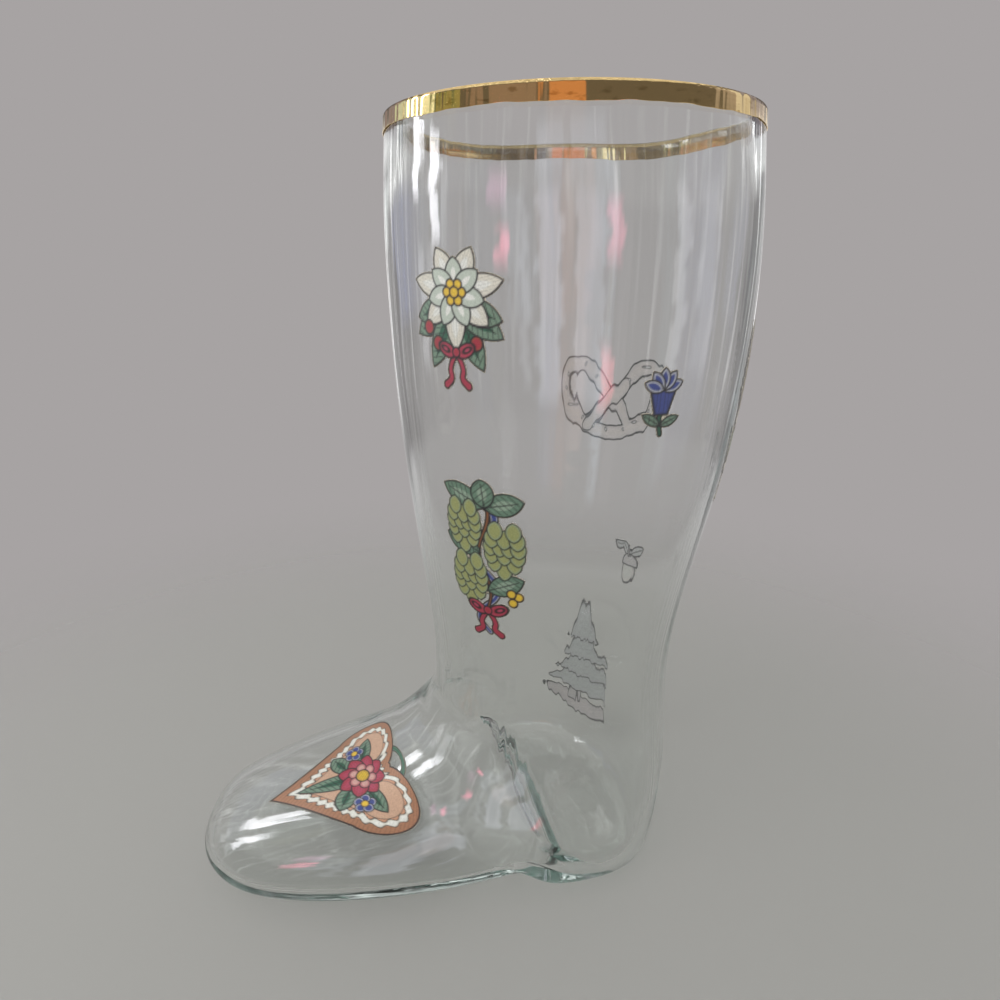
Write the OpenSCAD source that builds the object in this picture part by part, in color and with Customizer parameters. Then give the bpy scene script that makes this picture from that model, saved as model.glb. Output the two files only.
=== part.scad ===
// Beer boot glass: a blown glass boot with a gilded rim and fired picture transfers.
// The boot stands on its pressed heel and sole. The toe points to -X, the open leg to +Z.
// The origin is on the ground, below the middle of the boot's box.

/* [Overall] */
// Height from the ground to the top of the rim
boot_h = 250; // [200:1:300]
// Length from the tip of the toe to the back of the leg
boot_len = 192; // [175:1:220]

/* [Leg] */
// Outside diameter of the leg at its widest
leg_d = 117; // [105:0.5:130]
// Outside diameter at the rim
rim_d = 113; // [100:0.5:126]
// Outside diameter at the ankle
ankle_d = 85; // [76:0.5:96]
// Wall of the leg and the rim
leg_wall = 2.8; // [2:0.1:4]

/* [Foot] */
// Height of the crease between the shin and the vamp
instep_h = 61; // [52:0.5:72]
// Width across the ball of the foot
foot_w = 95; // [85:0.5:106]
// Height of the toe cap where it begins to round off
toe_h = 32; // [26:0.5:38]
// Width across the heel
heel_w = 101; // [90:0.5:112]
// Length of the heel, from its back to its breast
heel_len = 52; // [44:0.5:60]
// Distance from the axis of the leg back to the back of the heel
heel_back = 40; // [34:0.5:46]
// Height of the hollow under the waist, in front of the heel
arch_h = 10; // [6:0.5:14]
// Depth that the heel and the sole are pressed flat
press_depth = 0.6; // [0.4:0.1:1]
// Extra thickness of the glass under the foot
sole_extra = 2.4; // [1.2:0.1:3.2]

/* [Gilding] */
// Height of the gold band
band_h = 4.6; // [3:0.1:9]
// Distance from the top of the rim down to the band
band_drop = 0.5; // [0.5:0.1:4]

/* [Fired films] */
// Thickness of the gold and of the printed films
film_t = 0.25; // [0.2:0.05:0.5]
// Gap between a film and the glass
film_gap = 0.15; // [0.1:0.05:0.3]

/* [Transfers] */
// Width of the edelweiss print
edelweiss_w = 38; // [24:1:46]
// Height of the edelweiss print
edelweiss_h = 42; // [24:1:50]
// Width of the gentian print
gentian_w = 15; // [10:1:20]
// Height of the gentian print
gentian_h = 20; // [12:1:26]
// Width of the hop print
hop_w = 30; // [18:1:36]
// Height of the hop print
hop_h = 56; // [30:1:62]
// Width of the heart print
heart_w = 58; // [30:1:64]
// Length of the heart print along the vamp
heart_h = 52; // [30:1:60]
// Width of the pretzel print
pretzel_w = 44; // [28:1:52]
// Height of the pretzel print
pretzel_h = 38; // [24:1:46]
// Width of the barley print
barley_w = 24; // [14:1:32]
// Height of the barley print
barley_h = 64; // [30:1:72]
// Width of the acorn print
acorn_w = 15; // [10:1:20]
// Height of the acorn print
acorn_h = 18; // [12:1:24]
// Width of the fir print
fir_w = 32; // [20:1:40]
// Height of the fir print
fir_h = 54; // [30:1:60]

/* [Hidden] */

leg_r = leg_d / 2;
rim_r = rim_d / 2;
ankle_r = ankle_d / 2;
lip_r = leg_wall / 2;
leg_x = boot_len / 2 - leg_r;
toe_reach = boot_len - leg_r;
shin_h = boot_h - lip_r - instep_h;
crease_reach = 1.1 * ankle_r;
breast_reach = heel_len - heel_back;
vamp_len = toe_reach - crease_reach;
sole_len = toe_reach - breast_reach;

// Control rings of the leg: height above the crease as a share of the shin, radius from the ankle's
// to the leg's as a share, and lean of the ring's middle towards the toe as a share of the leg's radius.
leg_rings_share = [[0.87, 1, 0.01], [0.74, 1, 0], [0.58, 0.91, 0.005], [0.42, 0.67, 0.02],
                   [0.26, 0.33, 0.05]];
// Lean of the rim, as the column above.
rim_lean_share = 0.017;
// Control rings that fan round the heel: place of the front end along the vamp, its height as a share of
// the crease's height, place of the back end along the heel, its height as a share of the crease's, width
// as a share of the heel's, level of the widest point along the ring, and squareness of the underside.
back_rings_share = [[0, 1.36, 0.02, 1.31, 0.862, 0.5, 2], [0, 1.10, 0.02, 0.90, 0.852, 0.5, 2],
                    [0.001, 1.00, 0, 0.575, 0.88, 0.5, 2.1], [0.012, 0.95, 0.07, 0.295, 0.92, 0.5, 2.4]];
// The same, where the back end runs along the bottom of the heel.
heel_rings_share = [[0.028, 0.908, 0.20, 0.04, 0.965, 0.48, 3], [0.045, 0.868, 0.39, 0, 0.995, 0.46, 3.7],
                    [0.063, 0.828, 0.635, 0, 1, 0.44, 4.2], [0.084, 0.793, 0.865, 0, 0.985, 0.42, 4.3]];
// Control rings of the waist: place of the front end along the vamp, its height as a share of the
// crease's, place of the back end along the sole, width as a share of the foot's, level of the widest
// point, squareness of the underside, and height of the hollow there as a share of the arch's.
waist_rings_share = [[0.117, 0.754, -0.008, 1.025, 0.40, 4.1, 0.15], [0.157, 0.718, 0.005, 1.01, 0.39, 3.7, 1],
                     [0.208, 0.669, 0.058, 1, 0.38, 3.3, 1.12], [0.282, 0.615, 0.181, 0.995, 0.37, 2.9, 0.78]];
// Control rings of the toe: the same, but with both heights as shares of the toe cap's, the back end's
// in the fourth place.
toe_rings_share = [[0.389, 1.088, 0.357, 0, 0.965, 0.37, 2.6, 0.34], [0.515, 1.01, 0.538, 0, 0.90, 0.38, 2.7, 0.02],
                   [0.66, 0.906, 0.727, -0.012, 0.79, 0.40, 2.7, 0], [0.818, 0.769, 0.873, 0.02, 0.665, 0.42, 2.3, 0],
                   [0.943, 0.619, 0.963, 0.17, 0.47, 0.46, 2, 0]];
// Height of the tip of the toe as a share of the toe cap's
tip_share = 0.235;

function vamp_x(s) = -crease_reach - s * vamp_len;
function heel_x(s) = heel_back - s * heel_len;
function sole_x(s) = -breast_reach - s * sole_len;

// A control ring lists the front end's x and z, the back end's x and z, the half width, the level of the
// widest point, the squareness and the hollow. A ring of the leg is a level circle.
function leg_ring(z, r, lean) = [-lean - r, z, r - lean, z, r, 0.5, 2, 0];

rim_ring = leg_ring(boot_h - lip_r, rim_r, rim_lean_share * leg_r);
leg_rings = [for (s = leg_rings_share)
    leg_ring(instep_h + s[0] * shin_h, ankle_r + s[1] * (leg_r - ankle_r), s[2] * leg_r)];
back_rings = [for (s = back_rings_share)
    [vamp_x(s[0]), s[1] * instep_h, heel_x(s[2]), s[3] * instep_h, s[4] * heel_w / 2, s[5], s[6], 0]];
heel_rings = [for (s = heel_rings_share)
    [vamp_x(s[0]), s[1] * instep_h, heel_x(s[2]), s[3] * instep_h - press_depth,
     s[4] * heel_w / 2, s[5], s[6], 0]];
waist_rings = [for (s = waist_rings_share)
    [vamp_x(s[0]), s[1] * instep_h, sole_x(s[2]), -press_depth,
     s[3] * foot_w / 2, s[4], s[5], s[6] * arch_h]];
toe_rings = [for (s = toe_rings_share)
    [vamp_x(s[0]), s[1] * toe_h, sole_x(s[2]), s[3] * toe_h - press_depth,
     s[4] * foot_w / 2, s[5], s[6], s[7] * arch_h]];
all_rings = concat([rim_ring], leg_rings, back_rings, heel_rings, waist_rings, toe_rings);
last_ring = all_rings[len(all_rings) - 1];

// The tip is one point, set so that the surface ends at the toe's full reach. The ring past it is the
// last one turned over, which closes the toe with a round cap.
tip_x = (-6 * toe_reach - last_ring[0] - last_ring[2]) / 4;
tip_z = tip_share * toe_h;
tip_ring = [tip_x, tip_z, tip_x, tip_z, 0, 0.5, 2, 0];
past_ring = [last_ring[2], last_ring[3], last_ring[0], last_ring[1], -last_ring[4], 0.5, 2, 0];
rings = concat([2 * all_rings[0] - all_rings[1]], all_rings, [tip_ring], [past_ring]);
t_end = len(rings) - 3;

// A uniform cubic B-spline through the control rings, at t from 0 (the rim) to t_end (the tip).
function ring_at(t) =
    let (i = min(floor(t), t_end - 1), f = t - i)
    (pow(1 - f, 3) * rings[i] + (3 * pow(f, 3) - 6 * pow(f, 2) + 4) * rings[i + 1]
        + (-3 * pow(f, 3) + 3 * pow(f, 2) + 3 * f + 1) * rings[i + 2] + pow(f, 3) * rings[i + 3]) / 6;

// Reach of a ring at the angle a: an ellipse above its widest level, a superellipse below it. The angle
// is 0 at the front of the leg and the top of the foot, and 180 at the back and under the sole.
function reach(q, a) = cos(a) >= 0 ? 1 : pow(pow(-cos(a), q[6]) + pow(abs(sin(a)), q[6]), -1 / q[6]);
function ring_point(q, a) =
    let (r = reach(q, a), half = cos(a) >= 0 ? 1 - q[5] : q[5], along = q[5] + half * r * cos(a))
    [leg_x + q[2] + (q[0] - q[2]) * along, q[4] * r * sin(a), q[3] + (q[1] - q[3]) * along];

// The hollow under the waist lifts the underside and fades out up the sides.
hollow_fade = 1;
function hollow(q, a, fade) = [0, 0, q[7] * pow(max(0, -cos(a)) * reach(q, a), fade)];
function boot_point(t, a) = let (q = ring_at(t)) ring_point(q, a) + hollow(q, a, hollow_fade);

t_probe = 0.02;
a_probe = 0.5;
function unit(v) = v / norm(v);

// The outward normal, from the surface's slopes along and round the boot.
function boot_normal(t, a) =
    let (u = min(t, t_end - 3 * t_probe),
         along = boot_point(u + t_probe, a) - boot_point(max(u - t_probe, 0), a),
         round = boot_point(u, a + a_probe) - boot_point(u, a - a_probe))
    unit(cross(round, along));
// The outward normal of a ring within its own plane.
function ring_normal(q, a) =
    let (round = ring_point(q, a + a_probe) - ring_point(q, a - a_probe),
         up = cross([q[0] - q[2], 0, q[1] - q[3]], [0, 1, 0]))
    unit(cross(round, up));

// The inner wall lies inside each ring's plane, and square to the surface in the toe. Ahead of the breast
// of the heel it starts its rise and its waist early, so that the glass keeps its wall there, and its own
// hollow reaches further up the sides for the same reason.
inner_lead = 1.3;
inner_fade = 0.9;
waist_t = 17;
toe_blend = 2.5;
bottom_t = 9;
bottom_blend = 3;
toe_thinning = 4;
function inner_ring(t) =
    let (q = ring_at(t), lead = inner_lead * max(0, min(1, (t - bottom_t) / bottom_blend)),
         p = ring_at(t < waist_t ? min(t + lead, waist_t) : t))
    [q[0], q[1], q[2], q[3], min(q[4], p[4]), q[5], q[6], max(q[7], p[7])];
function wall_at(t, a) =
    leg_wall + sole_extra * pow((1 - cos(a)) / 2, 2)
        * max(0, min(1, (t - bottom_t) / bottom_blend, (t_end - 1 - t) / toe_thinning));
function inner_point(t, a) =
    let (q = inner_ring(t), s = max(0, min(1, (t - waist_t) / toe_blend)), k = s * s * (3 - 2 * s),
         n = k == 0 ? ring_normal(q, a) : unit((1 - k) * ring_normal(q, a) + k * boot_normal(t, a)))
    ring_point(q, a) - wall_at(t, a) * n + hollow(q, a, inner_fade);

ring_steps = 54;
ring_sides = 36;
lip_steps = 5;
rim_x = leg_x - rim_lean_share * leg_r;

function outside_row(t) = [for (j = [0:ring_sides - 1])
    let (p = boot_point(t, j * 360 / ring_sides)) [p[0], p[1], max(0, p[2])]];
function inside_row(t) = [for (j = [0:ring_sides - 1]) inner_point(t, j * 360 / ring_sides)];
// The lip of the rim is a half round between the two walls.
function lip_row(h) = [for (j = [0:ring_sides - 1])
    let (a = j * 360 / ring_sides, r = rim_r - lip_r - lip_r * cos(h))
    [rim_x - r * cos(a), r * sin(a), boot_h - lip_r + lip_r * sin(h)]];

// Skin of a closed body: rows of points between two end points, with outward faces.
function skin_points(first, rows, last) = concat([first], [for (row = rows) each row], [last]);
function skin_faces(rows, sides) =
    let (last = rows * sides + 1)
    concat([for (j = [0:sides - 1]) [0, 1 + (j + 1) % sides, 1 + j]],
        [for (i = [0:rows - 2], j = [0:sides - 1])
            let (a = 1 + i * sides + j, b = 1 + i * sides + (j + 1) % sides)
            each [[a, b, b + sides], [a, b + sides, a + sides]]],
        [for (j = [0:sides - 1]) [last, last - sides + j, last - sides + (j + 1) % sides]]);

module boot_glass() {
    ts = [for (i = [0:ring_steps - 1]) t_end * i / ring_steps];
    inside = [for (i = [ring_steps - 1:-1:0]) inside_row(ts[i])];
    lip = [for (k = [1:lip_steps]) lip_row(180 * k / (lip_steps + 1))];
    outside = [for (i = [0:ring_steps - 1]) outside_row(ts[i])];
    rows = concat(inside, lip, outside);
    tip = boot_point(t_end, 0);
    color("lightgray", 0.4)
        polyhedron(skin_points(tip + [leg_wall, 0, 0], rows, tip), skin_faces(len(rows), ring_sides));
}

// The band lies on the wall, follows its slope, and reaches up over the outer part of the lip's half round.
band_steps = 4;
band_lip_steps = 3;
lip_z = boot_h - lip_r;
function wall_r(z) =
    let (t = lookup(z, [for (i = [20:-1:0]) [ring_at(i / 10)[1], i / 10]])) ring_at(t)[4];
// The point at the distance lift out from the glass, over the level z.
function band_point(z, lift) =
    z <= lip_z ? [wall_r(z) + lift, z]
        : let (h = asin((z - lip_z) / lip_r))
            [rim_r - lip_r + (lip_r + lift) * cos(h), lip_z + (lip_r + lift) * sin(h)];

module rim_gold_band() {
    top = boot_h - band_drop;
    below = min(top, lip_z);
    on_lip = top > lip_z ? [for (i = [0:band_lip_steps - 1]) top + (lip_z - top) * i / band_lip_steps] : [];
    levels = concat(on_lip, [for (i = [0:band_steps]) below + (top - band_h - below) * i / band_steps]);
    color("goldenrod")
        translate([rim_x, 0, 0])
            rotate_extrude($fn = 96)
                polygon(concat([for (z = levels) band_point(z, film_gap + film_t)],
                    [for (i = [len(levels) - 1:-1:0]) band_point(levels[i], film_gap)]));
}

print_sides = 28;
print_rings = 3;
print_probe = 1;

// A fired print: a thin film on the glass about the place t, a. Its outline is an oval of width w and
// height h whose reach swells and draws in lobes times by the share depth.
function print_reach(lobes, depth, p) = 1 - depth / 2 + depth / 2 * cos(lobes * p);
function print_point(t, a, u, v, lift) =
    let (turn = norm(boot_point(t, a + print_probe) - boot_point(t, a - print_probe)) / (2 * print_probe),
         run = norm(boot_point(t + t_probe, a) - boot_point(t - t_probe, a)) / (2 * t_probe),
         pt = t - v / run, pa = a + u / turn)
    boot_point(pt, pa) + lift * boot_normal(pt, pa);
function print_row(t, a, w, h, lobes, depth, share, lift) = [for (j = [0:print_sides - 1])
    let (p = j * 360 / print_sides, r = share * print_reach(lobes, depth, p))
    print_point(t, a, r * sin(p) * w / 2, r * cos(p) * h / 2, lift)];

module transfer(t, a, w, h, lobes, depth) {
    low = [for (k = [1:print_rings]) print_row(t, a, w, h, lobes, depth, k / print_rings, film_gap)];
    high = [for (k = [print_rings:-1:1])
        print_row(t, a, w, h, lobes, depth, k / print_rings, film_gap + film_t)];
    rows = concat(low, high);
    polyhedron(skin_points(print_point(t, a, 0, 0, film_gap), rows,
        print_point(t, a, 0, 0, film_gap + film_t)), skin_faces(len(rows), print_sides));
}

module edelweiss_transfer() {
    color("ivory") transfer(2.1, -42, edelweiss_w, edelweiss_h, 8, 0.16);
}
module gentian_transfer() {
    color("royalblue") transfer(2.9, -100, gentian_w, gentian_h, 5, 0.2);
}
module hop_transfer() {
    color("olivedrab") transfer(4.6, -48, hop_w, hop_h, 4, 0.1);
}
module heart_transfer() {
    color("firebrick") transfer(17.9, -18, heart_w, heart_h, 2, 0.06);
}
module pretzel_transfer() {
    color("peru") transfer(3.4, 128, pretzel_w, pretzel_h, 6, 0.08);
}
module barley_transfer() {
    color("goldenrod") transfer(3.2, 208, barley_w, barley_h, 2, 0.1);
}
module acorn_transfer() {
    color("sienna") transfer(5.6, 150, acorn_w, acorn_h, 4, 0.1);
}
module fir_transfer() {
    color("cadetblue") transfer(7.9, 128, fir_w, fir_h, 3, 0.18);
}

boot_glass();
rim_gold_band();
edelweiss_transfer();
gentian_transfer();
hop_transfer();
heart_transfer();
pretzel_transfer();
barley_transfer();
acorn_transfer();
fir_transfer();
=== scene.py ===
"""Beer boot glass. Builds the blown wall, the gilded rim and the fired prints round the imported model, and
sets them on a pale floor with a lamp, a tent of soft panels for glass and gold to mirror, and a camera."""

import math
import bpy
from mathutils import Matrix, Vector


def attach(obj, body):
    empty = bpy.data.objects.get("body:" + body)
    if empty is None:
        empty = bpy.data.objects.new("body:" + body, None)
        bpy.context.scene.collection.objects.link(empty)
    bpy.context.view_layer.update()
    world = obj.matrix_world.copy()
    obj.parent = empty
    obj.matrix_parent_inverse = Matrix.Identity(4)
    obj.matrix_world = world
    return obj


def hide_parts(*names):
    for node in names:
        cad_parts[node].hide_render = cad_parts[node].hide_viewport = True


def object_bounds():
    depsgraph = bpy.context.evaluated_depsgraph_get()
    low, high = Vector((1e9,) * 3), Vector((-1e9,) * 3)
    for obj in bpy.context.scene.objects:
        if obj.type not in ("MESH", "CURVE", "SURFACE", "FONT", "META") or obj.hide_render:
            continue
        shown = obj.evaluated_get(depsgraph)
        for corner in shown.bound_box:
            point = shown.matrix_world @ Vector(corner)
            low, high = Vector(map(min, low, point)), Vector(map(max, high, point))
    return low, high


bl_info = {
    "name": "Beer Boot Glass",
    "version": (1, 0, 0),
    "blender": (4, 5, 0),
    "location": "View3D > Sidebar > Boot Glass",
    "description": "A blown glass beer boot with a gilded rim and fired prints",
    "category": "Add Mesh",
}

import bpy
import numpy as np
from mathutils import Vector

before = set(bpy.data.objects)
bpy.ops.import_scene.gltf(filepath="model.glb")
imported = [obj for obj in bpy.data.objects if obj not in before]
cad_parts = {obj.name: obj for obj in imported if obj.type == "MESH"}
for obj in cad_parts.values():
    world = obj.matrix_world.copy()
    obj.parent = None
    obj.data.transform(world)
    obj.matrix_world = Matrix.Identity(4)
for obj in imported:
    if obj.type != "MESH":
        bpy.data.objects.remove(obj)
cad_low, cad_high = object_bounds()

MM = 0.001
TURN = 2 * math.pi

# The columns of a ring: the place and the height of its front end and of its back end, half its width, the
# level of its widest point as a share, the power of its lower half, and the height of the hollow under it.
FRONT, FRONT_Z, BACK, BACK_Z, HALF, WIDEST, POWER, HOLLOW = range(8)
# A plain ring is widest half way up, elliptic, and has no hollow.
HALF_WAY, ELLIPSE, NO_HOLLOW = 0.5, 2, 0

# Control rings of the blown wall, as shares of the boot's own sizes. A ring of the leg gives its height above
# the crease as a share of the shin, its radius from the ankle's to the leg's, and its lean towards the toe.
LEG_RINGS = [
    (0.87, 1, 0.01),
    (0.74, 1, 0),
    (0.58, 0.91, 0.005),
    (0.42, 0.67, 0.02),
    (0.26, 0.33, 0.05),
]
RIM_LEAN = 0.017
# A ring that fans round the heel gives the place of its front end along the vamp and its height, the place
# of its back end along the heel and its height, its width, the level of its widest point, and its power.
BACK_RINGS = [
    (0, 1.36, 0.02, 1.31, 0.862, 0.5, 2),
    (0, 1.10, 0.02, 0.90, 0.852, 0.5, 2),
    (0.001, 1.00, 0, 0.575, 0.88, 0.5, 2.1),
    (0.012, 0.95, 0.07, 0.295, 0.92, 0.5, 2.4),
]
HEEL_RINGS = [
    (0.028, 0.908, 0.20, 0.04, 0.965, 0.48, 3),
    (0.045, 0.868, 0.39, 0, 0.995, 0.46, 3.7),
    (0.063, 0.828, 0.635, 0, 1, 0.44, 4.2),
    (0.084, 0.793, 0.865, 0, 0.985, 0.42, 4.3),
]
# A ring of the waist gives the place of its front end and its height, the place of its back end along the
# sole, its width, the level of its widest point, its power, and the hollow under it as a share of the arch.
WAIST_RINGS = [
    (0.117, 0.754, -0.008, 1.025, 0.40, 4.1, 0.15),
    (0.157, 0.718, 0.005, 1.01, 0.39, 3.7, 1),
    (0.208, 0.669, 0.058, 1, 0.38, 3.3, 1.12),
    (0.282, 0.615, 0.181, 0.995, 0.37, 2.9, 0.78),
]
# A ring of the toe adds the height of its back end, and takes both heights as shares of the toe cap's.
TOE_RINGS = [
    (0.389, 1.088, 0.357, 0, 0.965, 0.37, 2.6, 0.34),
    (0.515, 1.01, 0.538, 0, 0.90, 0.38, 2.7, 0.02),
    (0.66, 0.906, 0.727, -0.012, 0.79, 0.40, 2.7, 0),
    (0.818, 0.769, 0.873, 0.02, 0.665, 0.42, 2.3, 0),
    (0.943, 0.619, 0.963, 0.17, 0.47, 0.46, 2, 0),
]
TIP_LEVEL = 0.235
CREASE_REACH = 1.1

# Places on the rings: where the wall thickens, where the inner wall stops leading, and how fast each blends.
BOTTOM_T, BOTTOM_BLEND = 9, 3
WAIST_T, TOE_BLEND, TOE_THINNING = 17, 2.5, 4
# How far ahead the inner wall looks in the waist, and the powers by which the hollow fades out up the sides,
# inside and outside.
INNER_LEAD, INNER_FADE, HOLLOW_FADE = 1.3, 0.9, 1.0
# The step along the rings and round them over which slopes are taken.
STEP = 0.02

# Waves of the wall's inside: the share of the ripple, how many go round, the phase, and the drift downwards.
ROUND_WAVES = [(0.42, 4, 0.6, 0.24), (0.34, 7, 2.1, -0.31), (0.22, 11, 4.0, 0.45), (0.10, 19, 1.3, -0.2)]
# Waves near the rim: the share, how many go round, the phase, and the pace and the phase downwards. They fade
# out from this place on, over so many rings.
RIM_WAVES = [(0.8, 3, 1.0, 2.7, 0.0), (0.56, 8, 2.2, 3.3, 1.2)]
RIM_T, RIM_FADE = 1, 3
# How far the waves swell and fade again, and how fast downwards and round.
SWELL, SWELL_PACE, SWELL_ROUND = 0.35, 1.9, 2
# The ripple is full this far below the rim, loses this share in the foot, and dies away from this far before
# the tip on, over so many rings.
RIPPLE_START, FOOT_CALM, TIP_CALM, TIP_FADE = 0.15, 0.5, 3, 2
# The finish's streaks lose this share from the heel on, and get this share of the loss back from the foot on,
# each over so many rings.
HEEL_T, HEEL_CALM, FOOT_T, FOOT_BACK, CALM_FADE = 8, 0.85, 15, 0.5, 3
# Unevenness of the gold's lower edge: the share of the band's height, how many go round, and the phase.
BRUSH_WAVES = [(0.03, 9, 0.7), (0.02, 23, 2.0), (0.012, 47, 1.1)]

# Shares of the band's height that set off the close rows of its edges.
BAND_CREASE, BAND_MARGIN = 0.005, 0.04

# Counts of rows and sides.
BOOT_ROWS, BOOT_SIDES, LIP_ROWS = 236, 160, 9
BAND_ROWS, BAND_SIDES = 21, 360

# Millimetres of a print: the side of a cell, half the width of an outline, the bare edge outside it, and how
# far hatching stays inside a form. Then the share of hatching that the back shows, and how near to the cut
# edge, in cells, a point is moved onto it.
PRINT_CELL, OUTLINE, BARE_EDGE, HATCH_INSET = 0.34, 0.26, 0.1, 0.5
HATCH_BEHIND, SNAP = 0.3, 0.7
# The cells beyond a print's own size, the share of the shade ink, and the edge's distance before any form.
SPARE_CELLS, SHADE_SHARE, UNDRAWN = 5, 0.55, 9.0

# Heights of the relief in the finishes, and how fast thick glass takes on its colour, per metre.
STREAK_RELIEF, WAVE_RELIEF, STROKE_RELIEF, PRINT_RELIEF = 0.25 * MM, 0.9 * MM, 0.1 * MM, 0.1 * MM
DEPTH_DENSITY = 16.0
# What each face of the glass lets straight through, and how much of a print's inks and of its outlines shows
# from behind.
STRAIGHT_THROUGH = (0.972, 0.976, 0.974)
INKS_BEHIND, OUTLINES_BEHIND = 0.16, 0.92


def length(name, about, value, low, high):
    """A length in metres, from millimetres."""
    return bpy.props.FloatProperty(
        name=name, description=about, default=value * MM, min=low * MM, max=high * MM,
        subtype="DISTANCE", unit="LENGTH", precision=4)


def extent(name, about, width, height):
    """A width and a height in metres, from millimetres."""
    return bpy.props.FloatVectorProperty(
        name=name, description=about, default=(width * MM, height * MM), size=2,
        min=8 * MM, max=80 * MM, subtype="XYZ_LENGTH", unit="LENGTH", precision=4)


def linear(shade):
    """The linear value of screen colours from 0 to 255: the usual power curve with its straight foot."""
    c = np.asarray(shade, float) / 255
    return np.where(c <= 0.04045, c / 12.92, ((c + 0.055) / 1.055) ** 2.4)


def tint(name, about, *shade):
    """A colour, from its screen values from 0 to 255."""
    return bpy.props.FloatVectorProperty(
        name=name, description=about, default=tuple(linear(shade)), size=3, min=0, max=1, subtype="COLOR")


class BootSizes(bpy.types.PropertyGroup):
    """Sizes of the blown boot."""
    boot_h: length("Height", "From the ground to the top of the rim", cad_high.z / MM, 200, 300)
    boot_len: length("Length", "From the tip of the toe to the back of the leg", 192, 175, 220)
    leg_d: length("Leg", "Outside diameter of the leg at its widest", 117, 105, 130)
    rim_d: length("Rim", "Outside diameter at the rim", 113, 100, 126)
    ankle_d: length("Ankle", "Outside diameter at the ankle", 85, 76, 96)
    leg_wall: length("Wall", "Wall of the leg and the rim", 2.8, 2, 4)
    instep_h: length("Crease height", "Height of the crease between the shin and the vamp", 61, 52, 72)
    foot_w: length("Foot width", "Width across the ball of the foot", 95, 85, 106)
    toe_h: length("Toe cap", "Height of the toe cap where it begins to round off", 32, 26, 38)
    heel_w: length("Heel width", "Width across the heel", 101, 90, 112)
    heel_len: length("Heel length", "From the back of the heel to its breast", 52, 44, 60)
    heel_back: length("Heel back", "From the axis of the leg back to the back of the heel", 40, 34, 46)
    arch_h: length("Arch", "Height of the hollow under the waist", 10, 6, 14)
    press_depth: length("Press", "Depth that the heel and the sole are pressed flat", 0.6, 0.4, 1)
    sole_extra: length("Sole glass", "Extra thickness of the glass under the foot", 2.4, 1.2, 3.2)
    ripple: length("Ripple", "Unevenness of the inside of the wall", 0.19, 0, 0.4)


class FilmSizes(bpy.types.PropertyGroup):
    """Sizes of the gold band and the fired prints."""
    band_h: length("Band height", "Height of the gold band", 4.6, 3, 9)
    band_drop: length("Band drop", "From the top of the rim down to the band", 0.5, 0.5, 4)
    film_t: length("Film", "Thickness of the gold and of the prints", 0.25, 0.2, 0.5)
    film_gap: length("Gap", "Gap between a film and the glass", 0.15, 0.1, 0.3)
    edelweiss: extent("Edelweiss", "Width and height of the edelweiss print", 38, 42)
    gentian: extent("Gentian", "Width and height of the gentian print", 15, 20)
    hop: extent("Hop", "Width and height of the hop print", 30, 56)
    heart: extent("Heart", "Width and length of the heart print on the vamp", 58, 52)
    pretzel: extent("Pretzel", "Width and height of the pretzel print", 44, 38)
    barley: extent("Barley", "Width and height of the barley print", 24, 64)
    acorn: extent("Acorn", "Width and height of the acorn print", 15, 18)
    fir: extent("Fir", "Width and height of the fir print", 32, 54)


class FinishColours(bpy.types.PropertyGroup):
    """Colours of the glass, the gold and the enamels."""
    glass: tint("Glass", "Surface tint of the glass", 252, 253, 252)
    depth: tint("Glass depth", "Colour that light takes on in thick glass", 222, 232, 229)
    gold: tint("Gold", "Colour of the gilding", 238, 208, 148)
    worn: tint("Worn gold", "Colour of the gilding where it has thinned", 204, 172, 112)
    outline: tint("Outline", "Line round every printed form", 30, 28, 30)
    white: tint("White", "Petals, icing and salt", 218, 218, 211)
    cream: tint("Cream", "Ground of the petals and the icing", 198, 190, 170)
    leaf: tint("Leaf", "Dark leaves", 40, 88, 66)
    sage: tint("Sage", "Grey-green leaves", 138, 158, 138)
    cone: tint("Cone", "Hop cones", 146, 150, 96)
    ochre: tint("Ochre", "Grain", 186, 144, 80)
    yellow: tint("Yellow", "Centres of the blossoms", 212, 178, 56)
    red: tint("Red", "Berries and bows", 152, 46, 58)
    rose: tint("Rose", "Blossom on the heart", 168, 66, 88)
    blue: tint("Blue", "Gentian and ribbons", 56, 68, 128)
    crust: tint("Crust", "Gingerbread of the heart", 190, 144, 116)
    bark: tint("Bark", "Wood, crusts and caps", 128, 82, 50)
    spruce: tint("Spruce", "Boughs of the fir", 104, 142, 128)
    blush: tint("Blush", "Ground under the fir", 196, 154, 144)
    backing: tint("Backing", "The enamel as seen through the glass from behind", 196, 192, 194)


class StageLooks(bpy.types.PropertyGroup):
    """Floor, surroundings and camera."""
    floor: tint("Floor", "Colour of the floor", 158, 157, 153)
    backdrop: tint("Backdrop", "Colour behind the boot", 167, 163, 163)
    lens: bpy.props.FloatProperty(
        name="Lens", description="Focal length on a 36 mm sensor", default=27, min=15, max=120)


def mixed(a, b, share):
    """a where share is 0 and b where it is 1, in a straight line between."""
    return a + (b - a) * share


def fade(x):
    """Smooth step: 0 up to 0, 1 from 1, with level ends."""
    x = np.clip(x, 0, 1)
    return x * x * (3 - 2 * x)


def stacked(*parts):
    """Points from their coordinates, or faces from their corners: the parts, stretched to one shape, side by
    side along a new last axis."""
    return np.stack(np.broadcast_arrays(*parts), axis=-1)


def unit(v):
    """Each vector over its own length."""
    return v / (np.linalg.norm(v, axis=-1, keepdims=True) + 1e-12)


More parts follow.
